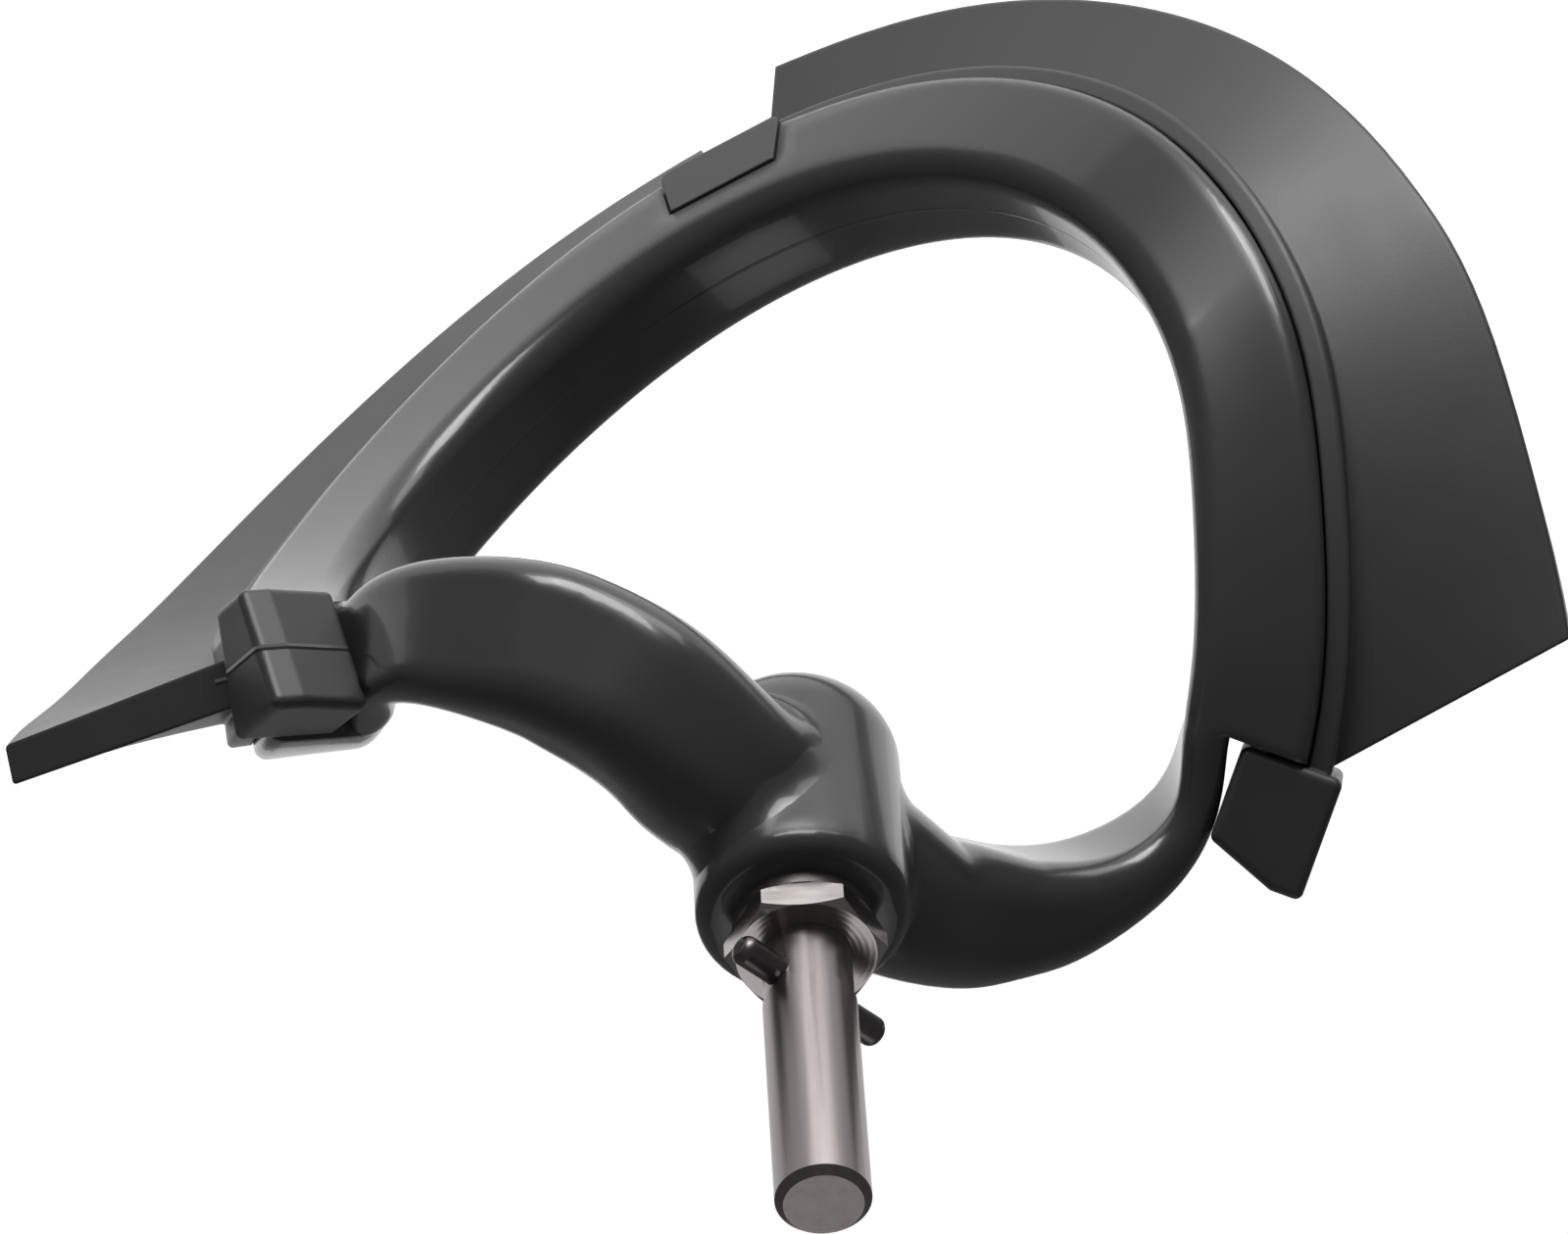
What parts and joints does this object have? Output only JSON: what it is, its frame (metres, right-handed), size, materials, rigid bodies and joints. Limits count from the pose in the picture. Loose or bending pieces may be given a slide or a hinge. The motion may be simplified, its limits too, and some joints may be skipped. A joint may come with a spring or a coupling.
{
  "type": "stand mixer creaming beater",
  "caption": "Twisted open-loop creaming beater with a flexible wiper blade along its outer edge, on a plain steel drive stem with a cross pin, lock nut and washer.",
  "frame": {"origin": "on the stem's axis, at the lower end of the stem's plain bearing length, just clear of the cross pin", "axes": "+Z along the stem to its free end; X along the bottom of the loop, where the loop's twist is zero"},
  "size_m": [0.1544, 0.0918, 0.1781],
  "materials": {
    "frame": "semi-gloss dark grey moulding",
    "wiper_blade": "satin dark grey",
    "stem": "drawn, with a turned end face",
    "cross_pin": "ground, dull",
    "lock_nut": "plain turned",
    "washer": "plain"
  },
  "bodies": {
    "root": {"frame": "frame", "wiper_blade": "wiper_blade", "stem": "stem", "cross_pin": "cross_pin", "lock_nut": "lock_nut", "washer": "washer"}
  },
  "joints": []
}
